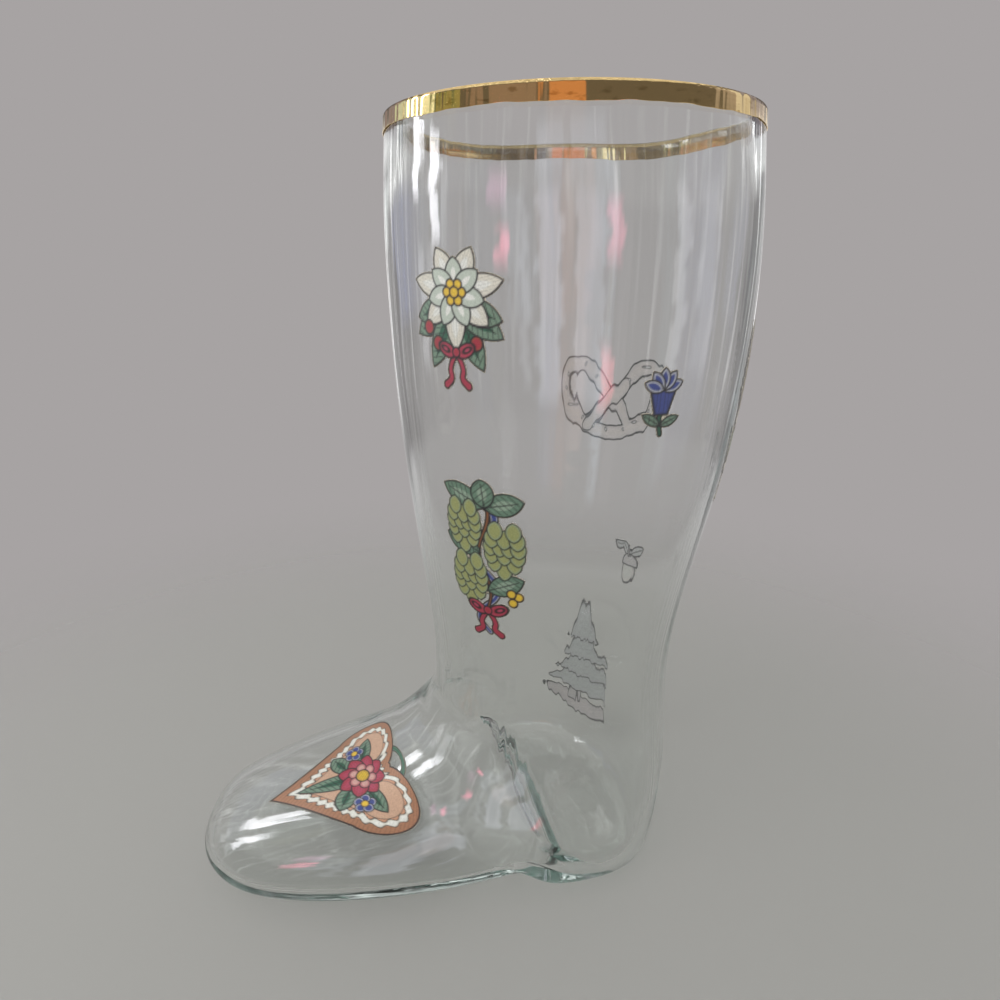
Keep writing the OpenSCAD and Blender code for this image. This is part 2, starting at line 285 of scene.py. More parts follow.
class BootWall:
    """The blown wall as a surface of two parameters. t runs from 0 at the rim to t_end at the tip of the toe,
    and the angle a goes round it in radians: 0 at the front of the leg and on top of the foot, half a turn at
    the back and under the sole. The camera's side has negative angles."""

    def __init__(self, sizes):
        self.s = {k: getattr(sizes, k) for k in sizes.__annotations__}
        s = self.s
        leg_r, ankle_r = s["leg_d"] / 2, s["ankle_d"] / 2
        self.lip_r, self.rim_r = s["leg_wall"] / 2, s["rim_d"] / 2
        self.leg_x = s["boot_len"] / 2 - leg_r
        self.rim_x = self.leg_x - RIM_LEAN * leg_r
        toe_reach = s["boot_len"] - leg_r
        shin = s["boot_h"] - self.lip_r - s["instep_h"]
        crease = CREASE_REACH * ankle_r
        breast = s["heel_len"] - s["heel_back"]
        vamp, sole, press = toe_reach - crease, toe_reach - breast, s["press_depth"]

        def level(z, r, lean):
            """A level round ring whose middle leans from the leg's axis towards the toe."""
            return [-lean - r, z, r - lean, z, r, HALF_WAY, ELLIPSE, NO_HOLLOW]

        rings = [level(s["boot_h"] - self.lip_r, self.rim_r, RIM_LEAN * leg_r)]
        rings += [level(s["instep_h"] + z * shin, mixed(ankle_r, leg_r, r), lean * leg_r)
                  for z, r, lean in LEG_RINGS]
        rings += [[-crease - f * vamp, fz * s["instep_h"], s["heel_back"] - b * s["heel_len"],
                   bz * s["instep_h"] - press * (k >= len(BACK_RINGS)), w * s["heel_w"] / 2, m, n, NO_HOLLOW]
                  for k, (f, fz, b, bz, w, m, n) in enumerate(BACK_RINGS + HEEL_RINGS)]
        rings += [[-crease - f * vamp, fz * s["instep_h"], -breast - b * sole, -press,
                   w * s["foot_w"] / 2, m, n, h * s["arch_h"]] for f, fz, b, w, m, n, h in WAIST_RINGS]
        rings += [[-crease - f * vamp, fz * s["toe_h"], -breast - b * sole, bz * s["toe_h"] - press,
                   w * s["foot_w"] / 2, m, n, h * s["arch_h"]] for f, fz, b, bz, w, m, n, h in TOE_RINGS]
        # The tip is a ring of no size between the last ring and its mirror image, placed so that the spline
        # closes at the toe's reach.
        last = rings[-1]
        tip_x, tip_z = (-6 * toe_reach - last[FRONT] - last[BACK]) / 4, TIP_LEVEL * s["toe_h"]
        rings.append([tip_x, tip_z, tip_x, tip_z, 0, HALF_WAY, ELLIPSE, NO_HOLLOW])
        rings.append([last[BACK], last[BACK_Z], last[FRONT], last[FRONT_Z], -last[HALF],
                      HALF_WAY, ELLIPSE, NO_HOLLOW])
        rings = np.array(rings)
        self.rings = np.vstack([2 * rings[0] - rings[1], rings])
        self.t_end = len(self.rings) - 3

    def ring(self, t):
        """Uniform cubic B-spline through the control rings."""
        i = np.clip(np.floor(t).astype(int), 0, self.t_end - 1)
        f = (t - i)[..., None]
        g = 1 - f
        r = self.rings
        return (g**3 * r[i] + (3 * f**3 - 6 * f**2 + 4) * r[i + 1]
                + (3 * g**3 - 6 * g**2 + 4) * r[i + 2] + f**3 * r[i + 3]) / 6

    def on_ring(self, q, a, hollow_fade):
        """A point of ring q at angle a: an ellipse above the widest level, a superellipse below it, lifted
        under the waist by the hollow, which fades out up the sides."""
        c, s = np.cos(a), np.sin(a)
        down, power, widest = np.maximum(-c, 0), q[..., POWER], q[..., WIDEST]
        reach = np.where(c >= 0, 1, (down ** power + np.abs(s) ** power + (c >= 0)) ** (-1 / power))
        along = widest + np.where(c >= 0, 1 - widest, widest) * reach * c
        lift = q[..., HOLLOW] * (reach * down) ** hollow_fade
        return stacked(self.leg_x + mixed(q[..., BACK], q[..., FRONT], along), q[..., HALF] * reach * s,
                       mixed(q[..., BACK_Z], q[..., FRONT_Z], along) + lift)

    def outer(self, t, a):
        """The outside of the wall, before the heel and the sole are pressed flat."""
        return self.on_ring(self.ring(t), a, HOLLOW_FADE)

    def normal(self, t, a):
        """The outward normal: the cross product of the slopes round and along the wall."""
        u = np.minimum(t, self.t_end - 3 * STEP)
        along = self.outer(u + STEP, a) - self.outer(np.maximum(u - STEP, 0), a)
        return unit(np.cross(self.outer(u, a + STEP / 2) - self.outer(u, a - STEP / 2), along))

    def ripple(self, t, a):
        """Unevenness of the blown wall, as a share of the ripple: sines round the leg that drift slowly down
        it, and swell and fade on the way, and near the rim products of sines round it and down it."""
        round_it = sum(share * np.sin(n * a + phase + drift * t) for share, n, phase, drift in ROUND_WAVES)
        near_rim = sum(share * np.sin(n * a + phase) * np.sin(pace * t + start)
                       for share, n, phase, pace, start in RIM_WAVES)
        swell = 1 + SWELL * np.sin(SWELL_PACE * t + SWELL_ROUND * a)
        return round_it * swell + near_rim * (1 - fade((t - RIM_T) / RIM_FADE))

    def thickness(self, t, a):
        """The wall's thickness: even in the leg but for its ripple, which is calmer in the foot, and thicker
        under the foot."""
        under = ((1 - np.cos(a)) / 2) ** 2
        low = np.clip(np.minimum((t - BOTTOM_T) / BOTTOM_BLEND, (self.t_end - 1 - t) / TOE_THINNING), 0, 1)
        foot = fade((t - BOTTOM_T) / BOTTOM_BLEND)
        tip = fade((t - self.t_end + TIP_CALM) / TIP_FADE)
        calm = fade(t / RIPPLE_START) * (1 - FOOT_CALM * foot) * (1 - tip)
        ripple = self.s["ripple"] * self.ripple(t, a) * calm
        return self.s["leg_wall"] + self.s["sole_extra"] * under * low + ripple

    def inner(self, t, a):
        """The inside of the wall: the ring drawn in by the thickness within its own plane, and square to the
        surface in the toe. Ahead of the heel's breast it takes its width and its hollow from further on."""
        q = self.ring(t)
        lead = INNER_LEAD * np.clip((t - BOTTOM_T) / BOTTOM_BLEND, 0, 1)
        ahead = self.ring(np.where(t < WAIST_T, np.minimum(t + lead, WAIST_T), t))
        q[..., HALF] = np.minimum(q[..., HALF], ahead[..., HALF])
        q[..., HOLLOW] = np.maximum(q[..., HOLLOW], ahead[..., HOLLOW])
        flat = q.copy()
        flat[..., HOLLOW] = NO_HOLLOW
        turn = self.on_ring(flat, a + STEP / 2, 1) - self.on_ring(flat, a - STEP / 2, 1)
        span = stacked(q[..., FRONT] - q[..., BACK], 0, q[..., FRONT_Z] - q[..., BACK_Z])
        in_plane = unit(np.cross(turn, np.cross(span, [0, 1, 0])))
        toe = fade((t - WAIST_T) / TOE_BLEND)[..., None]
        return self.on_ring(q, a, INNER_FADE) - self.thickness(t, a)[..., None] * unit(
            mixed(in_plane, self.normal(t, a), toe))

    def place(self, t, a, u, v, lift):
        """The point u to the right and v up from the place t, a, at the height lift over the glass."""
        t0, a0 = np.array([t]), np.array([a])
        round_it = np.linalg.norm(self.outer(t0, a0 + STEP) - self.outer(t0, a0 - STEP)) / (2 * STEP)
        along = np.linalg.norm(self.outer(t0 + STEP, a0) - self.outer(t0 - STEP, a0)) / (2 * STEP)
        pt, pa = t - v / along, a - u / round_it
        return self.outer(pt, pa) + lift * self.normal(pt, pa)


def angles(count):
    """count angles round a full turn, as one row."""
    return (TURN * np.arange(count) / count)[None]


def ring_faces(rows, sides):
    """Quads between rows of points that close round on themselves, facing outwards where the rows go from the
    inside of a wall over its top to the outside."""
    j = np.arange(sides)
    row = np.arange(rows - 1)[:, None] * sides
    a, b = row + j, row + (j + 1) % sides
    return stacked(a, b, b + sides, a + sides).reshape(-1, 4)


def mesh_object(name, points, faces, finish):
    """An object in the scene from arrays of points and lists of faces, with one material."""
    mesh = bpy.data.meshes.new(name)
    mesh.from_pydata(points.reshape(-1, 3).tolist(), [], faces)
    mesh.materials.append(finish)
    piece = bpy.data.objects.new(name, mesh)
    bpy.context.scene.collection.objects.link(piece)
    return piece


def add_piece(name, points, faces, finish, node):
    """A smooth piece that rides on the body and stands for a CAD node."""
    piece = mesh_object(name, points, faces, finish)
    piece.data.shade_smooth()
    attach(piece, "root")
    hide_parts(node)
    return piece


# Materials

def node_tree(name):
    """A new material with an empty node tree and its output."""
    material = bpy.data.materials.new(name)
    material.use_nodes = True
    tree = material.node_tree
    tree.nodes.clear()
    return material, tree, tree.nodes.new("ShaderNodeOutputMaterial")


def add_node(tree, kind, inputs=None, **settings):
    """A node with its settings and its inputs: a value is set, a socket is linked."""
    node = tree.nodes.new(kind)
    for key, value in settings.items():
        setattr(node, key, value)
    for key, value in (inputs or {}).items():
        if isinstance(value, bpy.types.NodeSocket):
            tree.links.new(value, node.inputs[key])
        else:
            node.inputs[key].default_value = value
    return node


def maths(tree, operation, first, second):
    """The result of an operation on two values or sockets."""
    return add_node(tree, "ShaderNodeMath", {0: first, 1: second}, operation=operation).outputs[0]


def mixed_shader(tree, share, first, second):
    """The first shader where the share is 0 and the second where it is 1."""
    return add_node(tree, "ShaderNodeMixShader", {
        0: share, 1: first.outputs[0], 2: second.outputs[0]}).outputs[0]


def stretched_noise():
    """Group: noise on the place that is given, with its own scales across and upright. Grain is the noise
    itself, and Mask is its rise from Low to High."""
    group = bpy.data.node_groups.new("stretched noise", "ShaderNodeTree")
    sockets = group.interface
    for key, value in {"Across": 120.0, "Upright": 120.0, "Low": 0.35, "High": 0.65, "Detail": 3.0}.items():
        sockets.new_socket(key, in_out="INPUT", socket_type="NodeSocketFloat").default_value = value
    sockets.new_socket("Place", in_out="INPUT", socket_type="NodeSocketVector")
    for key in ("Mask", "Grain"):
        sockets.new_socket(key, in_out="OUTPUT", socket_type="NodeSocketFloat")
    given, result = group.nodes.new("NodeGroupInput"), group.nodes.new("NodeGroupOutput")
    scale = add_node(group, "ShaderNodeCombineXYZ", {
        "X": given.outputs["Across"], "Y": given.outputs["Across"], "Z": given.outputs["Upright"]})
    spread = add_node(group, "ShaderNodeVectorMath", {
        0: given.outputs["Place"], 1: scale.outputs[0]}, operation="MULTIPLY")
    noise = add_node(group, "ShaderNodeTexNoise", {
        "Vector": spread.outputs[0], "Scale": 1.0, "Detail": given.outputs["Detail"]})
    mask = add_node(group, "ShaderNodeMapRange", {
        "Value": noise.outputs["Fac"], "From Min": given.outputs["Low"], "From Max": given.outputs["High"]})
    group.links.new(mask.outputs[0], result.inputs["Mask"])
    group.links.new(noise.outputs["Fac"], result.inputs["Grain"])
    return group


def add_noise(tree, place, **values):
    """The mask and the grain of the stretched noise at a place in a material, with its own values. The group
    is made on its first use."""
    group = bpy.data.node_groups.get("stretched noise") or stretched_noise()
    node = add_node(tree, "ShaderNodeGroup", node_tree=group)
    tree.links.new(place, node.inputs["Place"])
    for key, value in values.items():
        node.inputs[key].default_value = value
    return node.outputs["Mask"], node.outputs["Grain"]


def ranged(tree, value, low, high):
    """A value from 0 to 1, carried over to the range from low to high."""
    return add_node(tree, "ShaderNodeMapRange", {"Value": value, "To Min": low, "To Max": high}).outputs[0]


def relief(tree, height, strength, distance, **below):
    """The normal of a bump of some height, over the one below it."""
    return add_node(tree, "ShaderNodeBump", {
        "Height": height, "Strength": strength, "Distance": distance, **below}).outputs[0]


def blown_glass(colours):
    """Clear glass with upright streaks from the blowing, faint smears that cloud its polish, and a green cast
    in its depth. Light goes straight through it to what is matt, so that its shadow is pale."""
    material, tree, output = node_tree("blown glass")
    flow = add_node(tree, "ShaderNodeAttribute", attribute_name="flow").outputs["Vector"]
    calm = add_node(tree, "ShaderNodeAttribute", attribute_name="calm").outputs["Fac"]
    streaks = add_noise(tree, flow, Across=170.0, Upright=5.0, Detail=1.5)[1]
    smears = add_noise(tree, flow, Across=24.0, Upright=11.0, Low=0.52, High=0.75)[0]
    glass = add_node(tree, "ShaderNodeBsdfPrincipled", {
        "Base Color": (*colours.glass, 1), "Roughness": ranged(tree, smears, 0.0, 0.055), "IOR": 1.5,
        "Transmission Weight": 1.0,
        "Normal": relief(tree, maths(tree, "MULTIPLY", streaks, calm), 0.5, STREAK_RELIEF)})
    clear = add_node(tree, "ShaderNodeBsdfTransparent", {"Color": (*STRAIGHT_THROUGH, 1)})
    rays = add_node(tree, "ShaderNodeLightPath").outputs
    straight = maths(tree, "MAXIMUM", rays["Is Shadow Ray"], rays["Is Diffuse Ray"])
    depth = add_node(tree, "ShaderNodeVolumeAbsorption", {
        "Color": (*colours.depth, 1), "Density": DEPTH_DENSITY})
    tree.links.new(mixed_shader(tree, straight, glass, clear), output.inputs["Surface"])
    tree.links.new(depth.outputs[0], output.inputs["Volume"])
    return material


def fired_gold(colours):
    """Bright gold over glass, brushed on by hand round the rim: streaks along the stroke, and thin places
    where the gold has worn."""
    material, tree, output = node_tree("fired gold")
    place = add_node(tree, "ShaderNodeTexCoord").outputs["Object"]
    strokes = add_noise(tree, place, Across=40.0, Upright=900.0, Detail=4.0)[1]
    waves = add_noise(tree, place, Across=150.0, Upright=12.0, Detail=2.0)[1]
    wear = add_noise(tree, place, Across=260.0, Upright=700.0, Low=0.60, High=0.72)[0]
    colour = add_node(tree, "ShaderNodeMix", {
        0: wear, 6: (*colours.gold, 1), 7: (*colours.worn, 1)}, data_type="RGBA")
    wavy = relief(tree, waves, 1.0, WAVE_RELIEF)
    gold = add_node(tree, "ShaderNodeBsdfPrincipled", {
        "Base Color": colour.outputs[2], "Metallic": 1.0, "Roughness": ranged(tree, strokes, 0.04, 0.16),
        "Normal": relief(tree, strokes, 0.2, STROKE_RELIEF, Normal=wavy)})
    tree.links.new(gold.outputs[0], output.inputs["Surface"])
    return material


def fired_enamel(name, grain):
    """Printed enamel: the motif's own colours from the ink attribute, a fine uneven print tone, and a low
    sheen that varies with it."""
    material, tree, output = node_tree(name)
    ink = add_node(tree, "ShaderNodeAttribute", attribute_name="ink")
    place = add_node(tree, "ShaderNodeTexCoord").outputs["Object"]
    tone, fine = add_noise(tree, place, Across=grain, Upright=grain, Low=0.30, High=0.70, Detail=4.0)
    colour = add_node(tree, "ShaderNodeVectorMath", {
        0: ink.outputs["Color"], 1: ranged(tree, tone, 0.84, 1.06)}, operation="MULTIPLY")
    enamel = add_node(tree, "ShaderNodeBsdfPrincipled", {
        "Base Color": colour.outputs[0], "Roughness": ranged(tree, fine, 0.28, 0.55),
        "Normal": relief(tree, fine, 0.3, PRINT_RELIEF)})
    tree.links.new(enamel.outputs[0], output.inputs["Surface"])
    return material


def curve(points, cuts=3):
    """Rounds a chain of points: each stretch is cut at its quarters, cuts times, and the ends stay."""
    p = np.array(points, float)
    for _ in range(cuts):
        near, far = mixed(p[:-1], p[1:], 0.25), mixed(p[:-1], p[1:], 0.75)
        p = np.vstack([p[:1], np.stack([near, far], 1).reshape(-1, 2), p[-1:]])
    return p


class Sheet:
    """A print before it is fired: points x to the right and y up in millimetres, their inks, how much of each
    is outline, and the distance to the print's own cut edge. It is drawn with distances in millimetres, which
    are below zero inside a form and above zero outside it."""

    def __init__(self, width, height, inks):
        nx, ny = (int(side / MM / PRINT_CELL) + SPARE_CELLS for side in (width, height))
        self.x, self.y = np.meshgrid((np.arange(nx) - (nx - 1) / 2) * PRINT_CELL,
                                     (np.arange(ny) - (ny - 1) / 2) * PRINT_CELL)
        self.inks = inks
        self.ink = np.ones(self.x.shape + (3,)) * inks["cream"]
        self.drawn = np.zeros(self.x.shape)
        self.edge = np.full(self.x.shape, UNDRAWN)

    def disc(self, cx, cy, r):
        """Distance to the point cx, cy, less the radius."""
        return np.hypot(self.x - cx, self.y - cy) - r

    def oval(self, cx, cy, rx, ry, turn=0.0):
        """The scaled distance to the centre, less one, times the smaller radius. turn is in degrees."""
        c, s = math.cos(math.radians(turn)), math.sin(math.radians(turn))
        x, y = self.x - cx, self.y - cy
        return (np.hypot((x * c + y * s) / rx, (y * c - x * s) / ry) - 1) * min(rx, ry)

    def leaf(self, ax, ay, bx, by, half):
        """A pointed leaf from a to b: where two equal discs overlap, whose edges meet at a and b."""
        dx, dy = bx - ax, by - ay
        run = math.hypot(dx, dy)
        r = (run * run / 4 + half * half) / (2 * half)
        nx, ny, k = -dy / run, dx / run, r - half
        mx, my = (ax + bx) / 2, (ay + by) / 2
        return np.maximum(self.disc(mx + k * nx, my + k * ny, r), self.disc(mx - k * nx, my - k * ny, r))

    def line(self, points, half, end=None):
        """A stroke through points: the least distance to its straight stretches, less its half width, which
        runs evenly from half to end."""
        p = np.array(points, float)
        widths = np.linspace(half, half if end is None else end, len(p))
        best = np.full(self.x.shape, np.inf)
        for (ax, ay), (bx, by), wa, wb in zip(p[:-1], p[1:], widths[:-1], widths[1:]):
            dx, dy, x, y = bx - ax, by - ay, self.x - ax, self.y - ay
            k = np.clip((x * dx + y * dy) / (dx * dx + dy * dy + 1e-9), 0, 1)
            best = np.minimum(best, np.hypot(x - k * dx, y - k * dy) - mixed(wa, wb, k))
        return best

    def hull(self, points):
        """A convex form with corners in clockwise order: the greatest distance past any of its sides."""
        p = np.array(points, float)
        n = (np.roll(p, -1, axis=0) - p)[:, ::-1] * [-1, 1]
        n /= np.linalg.norm(n, axis=1, keepdims=True)
        return np.max([(self.x - ax) * nx + (self.y - ay) * ny for (ax, ay), (nx, ny) in zip(p, n)], axis=0)

    def wash(self, d, ink, share=1.0):
        """Lays an ink inside the distance d, with a soft edge one cell wide."""
        cover = np.clip(0.5 - d / PRINT_CELL, 0, 1) * share
        self.ink = mixed(self.ink, self.inks[ink], cover[..., None])
        if share == 1.0:
            self.drawn *= 1 - cover

    def trace(self, d, half=OUTLINE):
        """Draws the outline where d is near zero."""
        near = np.clip(0.5 - (np.abs(d) - half) / PRINT_CELL, 0, 1)
        self.ink = mixed(self.ink, self.inks["outline"], near[..., None])
        self.drawn = np.maximum(self.drawn, near)

    def form(self, d, ink, shade=None, depth=2.0, half=OUTLINE):
        """A form with an outline, which darkens to the shade ink towards its edge, and joins the print."""
        self.wash(d, ink)
        if shade:
            self.wash(np.maximum(d, -d - depth), shade, SHADE_SHARE)
        self.trace(d, half)
        self.edge = np.minimum(self.edge, d - half - BARE_EDGE)

    def hatch(self, d, angle, pitch, half=0.13, share=0.85):
        """Engraver's lines inside d, at an angle in degrees."""
        c, s = math.cos(math.radians(angle)), math.sin(math.radians(angle))
        across = np.abs((self.x * c + self.y * s) % pitch - pitch / 2)
        lines = np.clip(0.5 - (np.maximum(across - half, d + HATCH_INSET)) / PRINT_CELL, 0, 1) * share
        self.ink = mixed(self.ink, self.inks["outline"], lines[..., None])
        self.drawn = np.maximum(self.drawn, lines * HATCH_BEHIND)


def polar(cx, cy, r, degrees):
    """The point at a distance and an angle from cx, cy."""
    return cx + r * math.cos(math.radians(degrees)), cy + r * math.sin(math.radians(degrees))


def leafy(p, ax, ay, bx, by, half, ink, shade):
    """A leaf with its rib and side hatching."""
    d = p.leaf(ax, ay, bx, by, half)
    p.form(d, ink, shade)
    p.hatch(d, math.degrees(math.atan2(by - ay, bx - ax)) + 35, 1.5)
    rib = [(ax, ay), (mixed(ax, bx, 0.85), mixed(ay, by, 0.85))]
    p.trace(p.line(rib, 0.12, 0.04), 0.12)


def bow(p, cx, cy, size, ink, shade, tails):
    """A ribbon bow: two hanging tails, two loops and a knot."""
    for side in (-1, 1):
        tail = curve([(cx, cy), (cx + side * 0.5 * size, cy - 0.5 * tails),
                      (cx + side * 0.3 * size, cy - 0.8 * tails), (cx + side * 0.75 * size, cy - tails)])
        p.form(p.line(tail, 0.12 * size, 0.2 * size), ink, shade, 0.8)
    for side in (-1, 1):
        p.form(p.oval(cx + side * 0.62 * size, cy + 0.1 * size, 0.6 * size, 0.34 * size, side * 24),
               ink, shade, 1.0)
        p.form(p.oval(cx + side * 0.72 * size, cy + 0.14 * size, 0.26 * size, 0.12 * size, side * 24),
               shade)
    p.form(p.disc(cx, cy, 0.24 * size), ink, shade, 0.6)


def draw_edelweiss(p):
    """A woolly star of two rings of petals over dark leaves, with berries and a red bow."""
    for angle, run in ((-150, 17), (-118, 19), (-62, 19), (-30, 17), (196, 15), (-16, 15)):
        leafy(p, 0, 2, *polar(0, 2, run, angle), 3.6, "leaf", "sage")
    for k in range(7):
        angle = 116 + k * 360 / 7
        d = p.leaf(0, 5, *polar(0, 5, 15.2 if k % 2 else 13.4, angle), 3.3)
        p.form(d, "white", "cream")
        p.hatch(d, angle + 90, 0.9, 0.05, 0.35)
    for k in range(7):
        p.form(p.leaf(0, 5, *polar(0, 5, 9.6, 90 + k * 360 / 7), 2.8), "white", "sage")
    for k in range(6):
        p.form(p.disc(*polar(0, 5, 2.5, k * 60), 1.35), "yellow", "ochre", 0.5)
    p.form(p.disc(0, 5, 1.5), "yellow", "ochre", 0.5)
    for cx, cy in ((-6.5, -8.5), (6.8, -8.0), (-10, -4.5)):
        p.form(p.disc(cx, cy, 1.9), "red", "bark", 0.6)
    bow(p, 0, -10.5, 5.2, "red", "rose", 8.5)


def draw_gentian(p):
    """A blue bell with five points, on a green stem with two leaves."""
    p.form(p.line(curve([(0.5, -9), (-0.6, -5), (0, -1)]), 0.55, 0.7), "leaf")
    leafy(p, 0, -6.5, -5.6, -3.2, 1.3, "leaf", "sage")
    leafy(p, 0, -6.5, 5.8, -4.2, 1.3, "leaf", "sage")
    cup = p.hull([(-3.7, 4.4), (3.7, 4.4), (1.7, -3.0), (-1.7, -3.0)])
    p.form(cup - 0.5, "blue", "outline", 0.7)
    for angle in (22, 56, 90, 124, 158):
        p.form(p.leaf(0, 3.2, *polar(0, 3.2, 6.2, angle), 1.6), "blue", "white", 0.7)
    p.hatch(cup, 0, 1.2, 0.07)


def hop_cone(p, cx, cy, size):
    """A cone of overlapping scales, drawn from its tip up."""
    for row, (count, spread) in enumerate(((1, 0), (2, 0.34), (3, 0.44), (4, 0.46), (3, 0.42), (2, 0.3))):
        for k in range(count):
            x0 = cx + size * spread * (k - (count - 1) / 2) * 2 / max(count - 1, 1)
            y0 = cy - size * (0.95 - 0.3 * row)
            p.form(p.leaf(x0, y0 + 0.62 * size, x0 + 0.12 * (x0 - cx), y0 - 0.1 * size, 0.27 * size),
                   "cone", "sage", 0.6, 0.2)


def draw_hop(p):
    """A hanging vine with three cones, grey-green leaves, and a blue ribbon with a red bow."""
    ribbon = curve([(-3, 23), (7, 15), (-8, 4), (8, -8), (-5, -19), (1, -25)], 4)
    p.form(p.line(ribbon, 1.25, 0.9), "blue", "white", 0.5)
    p.form(p.line(curve([(0, 26), (3, 16), (-3, 4), (3, -8), (0, -18)], 4), 0.6, 0.4), "bark")
    for ax, ay, bx, by in ((1, 19, -12.5, 24.5), (1, 19, 12.5, 22), (-1, 4, -13, 8.5), (1, -9, 13, -3.5),
                           (1, 19, 0, 27.5)):
        leafy(p, ax, ay, bx, by, 3.5, "sage", "leaf")
    hop_cone(p, -6.4, 11.5, 8.2)
    hop_cone(p, 6.8, 5.0, 8.8)
    hop_cone(p, -5.4, -6.5, 8.8)
    for cx, cy in ((9.5, -12), (11.4, -9.6), (9, -8.8)):
        p.form(p.disc(cx, cy, 1.5), "yellow", "ochre", 0.5)
    bow(p, 0.5, -16.5, 6.2, "red", "rose", 9.0)


def heart_edge(p, size):
    """Distance to a heart: two discs over a kite, and a square that fills the gap between them."""
    lobes = [p.disc(side * 0.47 * size, 0.30 * size, 0.53 * size) for side in (-1, 1)]
    kite = size * np.array([(-0.94, 0.06), (0, 0.62), (0.94, 0.06), (0, -0.96)])
    square = size * np.array([(-0.5, 0.5), (0.5, 0.5), (0.5, 0), (-0.5, 0)])
    return np.minimum.reduce([*lobes, p.hull(kite), p.hull(square)])


def draw_heart(p):
    """A gingerbread heart: a brown edge, piped icing, a rose blossom with leaves, and a hanging loop."""
    loop = curve([(-5, 14), (-7, 21), (0, 25.5), (7, 21), (5, 14)], 4)
    p.form(p.line(loop, 1.1), "leaf", "sage", 0.5)
    size = 26.5
    d = heart_edge(p, size)
    p.form(d, "crust", "bark", 3.4, 0.34)
    p.hatch(np.maximum(d, -d - 3.4), 52, 1.25, 0.08, 0.5)
    ring = np.abs(d + 4.4)
    wave = 0.55 * np.sin(np.arctan2(p.y - 2, p.x) * 34)
    p.form(ring - 1.15 - wave, "white", "cream", 0.6, 0.18)
    inside = d + 6.4
    p.trace(inside, 0.12)
    p.wash(inside, "cream", 0.25)
    for ax, ay, bx, by in ((-4, 3, -17.5, 7.5), (4, 3, 17.5, 7.5), (-3, -1, -12.5, -6.5), (3, -1, 12.5, -6.5),
                           (0, 8, 0, -18)):
        leafy(p, ax, ay, bx, by, 3.2, "leaf", "sage")
    for cx in (-11.8, 11.8):
        for k in range(5):
            p.form(p.disc(*polar(cx, 1.5, 2.1, 90 + 72 * k), 1.7), "blue", "white", 0.5, 0.18)
        p.form(p.disc(cx, 1.5, 1.3), "yellow", "ochre", 0.5, 0.16)
    for k in range(8):
        angle = 22.5 + 45 * k
        d = p.leaf(0, 3.5, *polar(0, 3.5, 9.2, angle), 3.1)
        p.form(d, "rose", "red", 1.4)
        p.hatch(d, angle + 90, 0.95, 0.05, 0.5)
    for k in range(6):
        p.form(p.disc(*polar(0, 3.5, 3.6, 60 * k), 1.9), "blush", "rose", 0.8, 0.2)
    p.form(p.disc(0, 3.5, 2.5), "yellow", "ochre", 0.9)
    p.hatch(p.disc(0, 3.5, 2.4), 45, 0.8, 0.06)


def draw_pretzel(p):
    """A salted pretzel: one rope of dough that crosses itself, drawn in two passes so that it laps over."""
    left = [(9.5, -13.2), (5.5, -7.5), (0.5, -2), (-6, 5), (-12, 12.5), (-18.4, 10), (-19.2, 1), (-16, -8),
            (-8.5, -14.2), (0, -15.6)]
    right = [(-x, y) for x, y in left]
    rope = curve(left + right[::-1], 4)
    d = p.line(rope, 2.75)
    p.form(d, "crust", "bark", 1.6, 0.32)
    over = p.line(curve(left[:3] + [(-5, 4)], 4), 2.0, 2.7)
    p.form(over, "crust", "bark", 1.2)
    middle = np.abs(p.line(rope, 0)) - 0.6
    p.wash(middle, "ochre", 0.5)
    salt = [(-12.5, 11.6), (-16.5, 7.4), (-18.2, 2.2), (-15.3, -5.4), (-11.4, -10.2), (-6.2, -13.6),
            (0.4, -14.3), (6.6, -13.2), (12, -10), (15.6, -5), (18, 1.6), (16.8, 7), (12.2, 11.4), (7.4, 6.6),
            (-7, 6.2)]
    grain = np.minimum.reduce([p.oval(x, y, 0.8, 0.5, 40 * k) for k, (x, y) in enumerate(salt)])
    p.form(grain, "white", None, 1, 0.14)


def draw_barley(p):
    """A ripe ear with two rows of grain, long beards, two blades and a ribbon."""
    p.form(p.line(curve([(2.2, -31), (1.2, -16), (-0.6, 0), (0, 14)], 4), 0.65, 0.45), "ochre", "bark", 0.3)
    leafy(p, 1.6, -22, -9.5, -4, 2.2, "cone", "sage")
    leafy(p, 1.6, -24, 10.2, -10, 2.2, "cone", "sage")
    for k in range(8):
        for side in (-1, 1):
            y0 = -4 + 2.9 * k
            beard = [(side * 2.4, y0 + 2), (side * (8.8 - 0.45 * k), y0 + 12.4)]
            p.form(p.line(beard, 0.32, 0.12), "ochre", None, 1, 0.14)
    for k in range(9):
        for side in (-1, 1):
            d = p.oval(side * 2.5, -4 + 2.9 * k, 1.5, 2.7, -side * 24)
            p.form(d, "ochre", "bark", 0.8, 0.2)
            p.hatch(d, 90 - side * 24, 1.1, 0.05, 0.5)
    p.form(p.oval(0, 23, 1.5, 3.0), "ochre", "bark", 0.8, 0.2)
    bow(p, 1.4, -19.5, 5.0, "blue", "red", 9.0)


def draw_acorn(p):
    """An acorn in its cup under two leaves."""
    leafy(p, 0, 4, -6.6, 8.0, 1.8, "sage", "leaf")
    leafy(p, 0, 4, 6.4, 8.2, 1.8, "sage", "leaf")
    d = p.oval(0, -2.6, 3.5, 5.4)
    p.form(d, "cone", "ochre", 1.2)
    cap = np.maximum(p.oval(0, 0.6, 4.4, 3.5), -p.y - 0.4)
    p.form(cap, "bark", "outline", 0.8)
    p.hatch(cap, 45, 1.1, 0.08)
    p.form(p.line([(0, 3.6), (0.6, 7)], 0.5), "bark")


